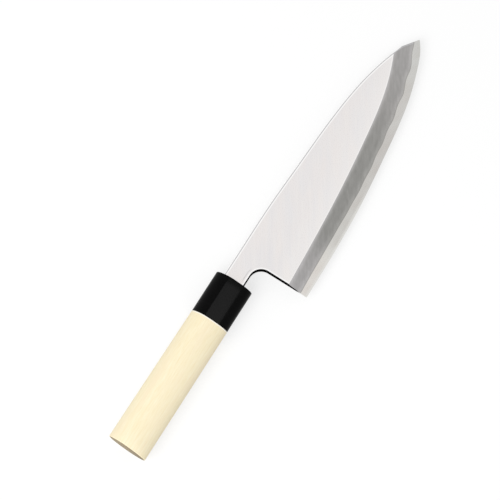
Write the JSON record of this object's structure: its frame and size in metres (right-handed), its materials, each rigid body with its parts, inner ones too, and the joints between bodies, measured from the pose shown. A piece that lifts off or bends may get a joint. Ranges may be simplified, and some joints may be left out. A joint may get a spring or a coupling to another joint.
{
  "type": "deba knife",
  "caption": "Heavy single-bevel fish and poultry knife with a forge-welded blade, a hollow back, a moulded ferrule and a ridged wooden handle.",
  "frame": {"origin": "centre of the foot of the whole knife's box, with the knife lying on its back and the front of the blade up", "axes": "+X along the blade to the tip, +Y from the edge to the spine, +Z out of the front of the blade, the bevelled side"},
  "size_m": [0.366, 0.0644, 0.0252],
  "materials": {
    "soft_iron": "soft iron, ground lengthwise to a satin on the front, dull grey on the bevel",
    "hard_steel": "hard carbon steel, finely ground to a paler satin",
    "moulded_ferrule": "black moulded resin, polished",
    "wood": "pale straight-grained magnolia, sanded, unvarnished"
  },
  "bodies": {
    "root": {"blade_iron": "soft_iron", "edge_steel": "hard_steel", "ferrule": "moulded_ferrule", "handle": "wood"}
  },
  "joints": []
}
